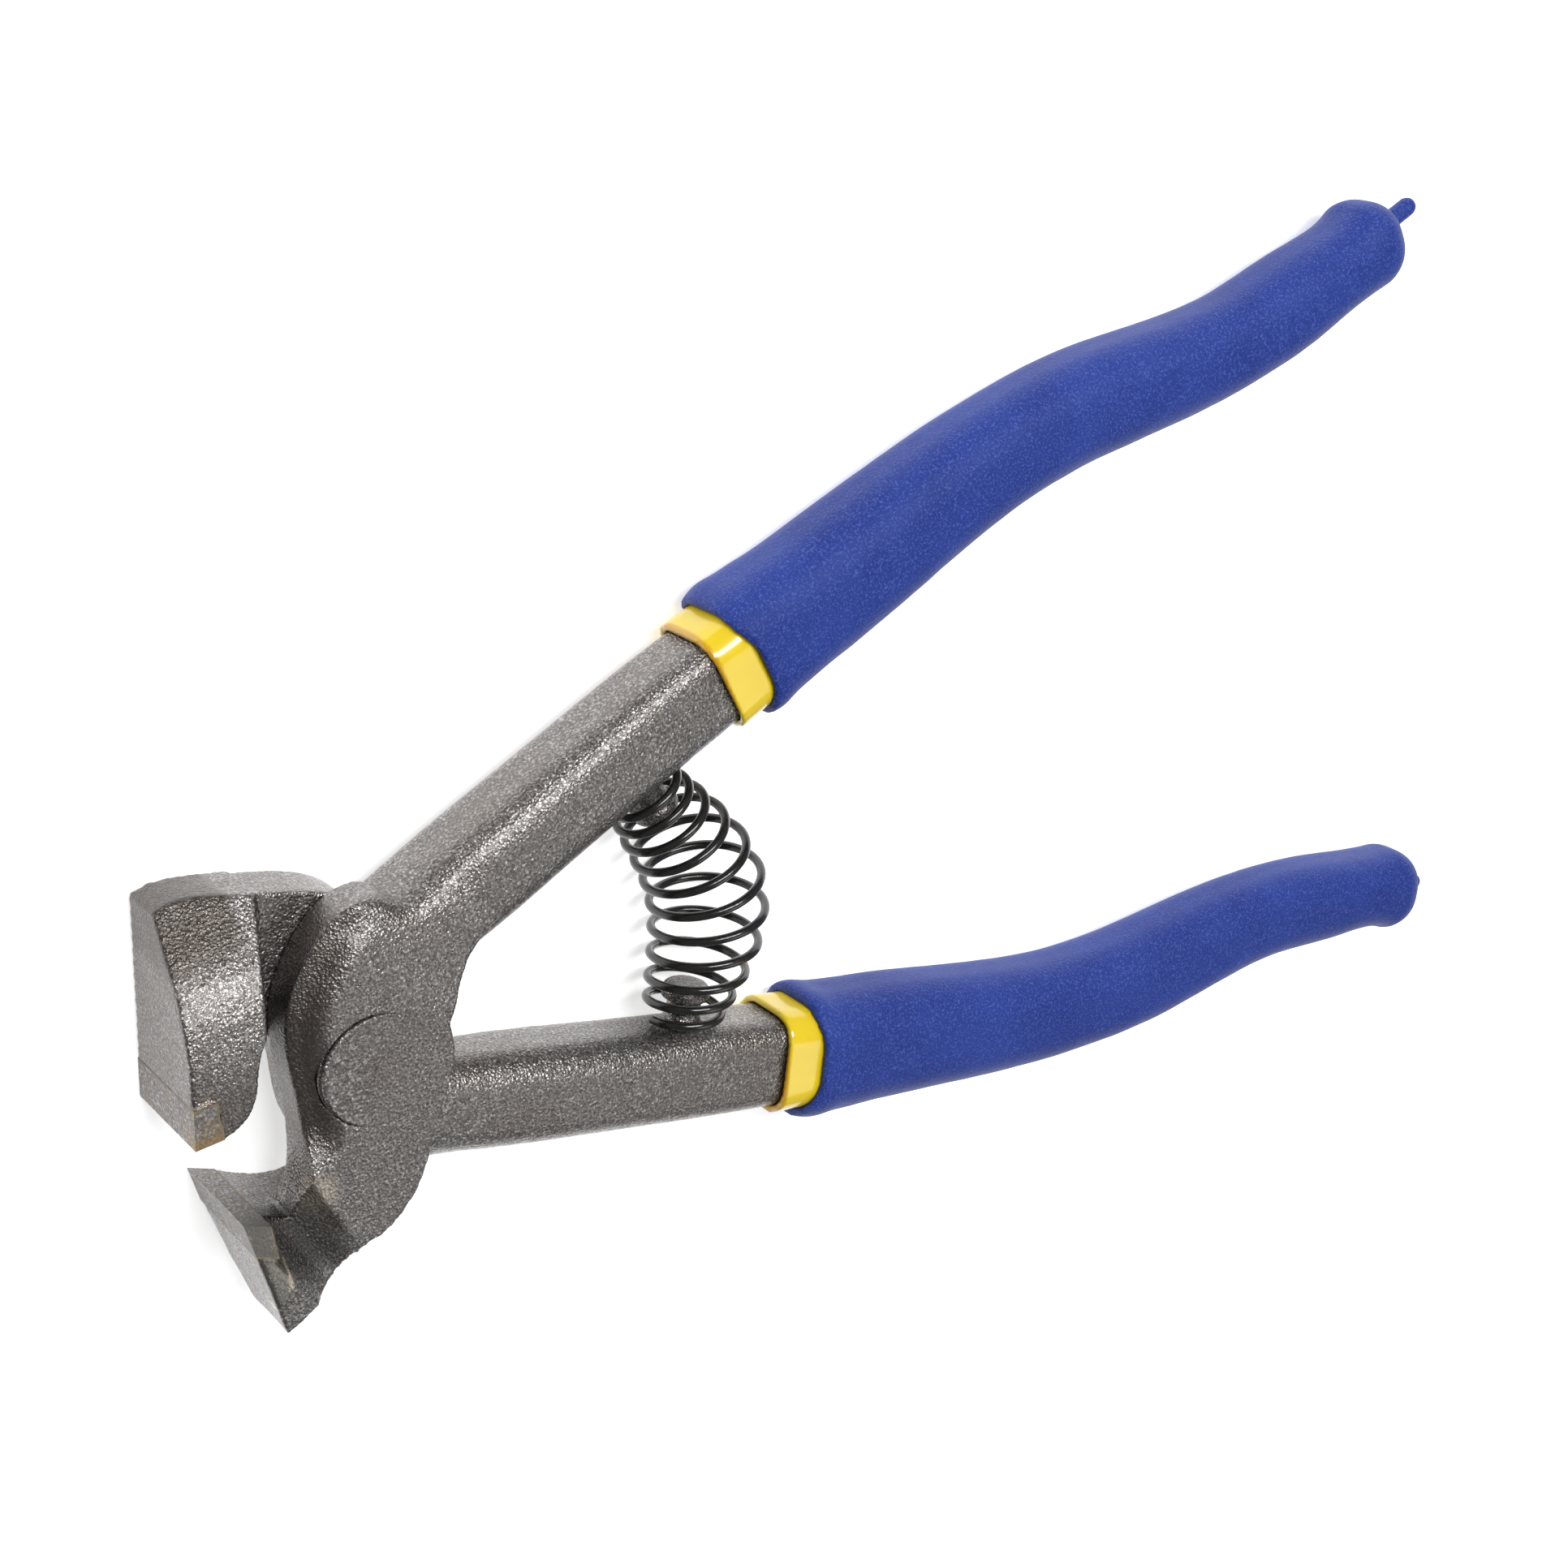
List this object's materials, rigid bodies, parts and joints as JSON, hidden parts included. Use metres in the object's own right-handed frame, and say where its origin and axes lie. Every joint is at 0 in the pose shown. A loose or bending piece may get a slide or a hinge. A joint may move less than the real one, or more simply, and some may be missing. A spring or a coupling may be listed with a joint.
{
  "type": "tile nippers",
  "caption": "Hand tile nippers: two lapped steel forgings on a pivot rivet, carbide-edged end jaws, barrel return spring and dipped plastic grips.",
  "frame": {"origin": "bottom centre of the whole tool's box, jaws open", "axes": "+X along the tool from the jaws to the handle ends, +Z along the pivot towards the front half, +Y towards the upper handle"},
  "size_m": [0.2016, 0.1138, 0.0158],
  "materials": {
    "forged_steel": "blasted forging under clear lacquer",
    "rivet_steel": "blasted with the bosses",
    "carbide": "ground, matt",
    "braze": "dull braze metal",
    "spring_wire": "gloss black",
    "yellow_sleeve": "gloss dipped vinyl",
    "blue_grip": "satin dipped vinyl with a fine grain"
  },
  "bodies": {
    "rear": {"rear_half": "forged_steel", "upper_carbide_tip": "carbide", "upper_braze_seam": "braze", "lower_inner_sleeve": "yellow_sleeve", "lower_grip": "blue_grip", "return_spring": "spring_wire"},
    "front": {"front_half": "forged_steel", "pivot_rivet": "rivet_steel", "lower_carbide_tip": "carbide", "lower_braze_seam": "braze", "upper_inner_sleeve": "yellow_sleeve", "upper_grip": "blue_grip"}
  },
  "joints": [
    {"name": "pivot", "type": "hinge", "parent": "rear", "child": "front", "pos_m": [-0.07842, 0, 0.0079], "axis": [0, 0, -1], "range_deg": [0, 28.4], "stiffness_Nm_per_rad": 2, "springref_deg": -6.88, "deforming": ["return_spring"]}
  ]
}
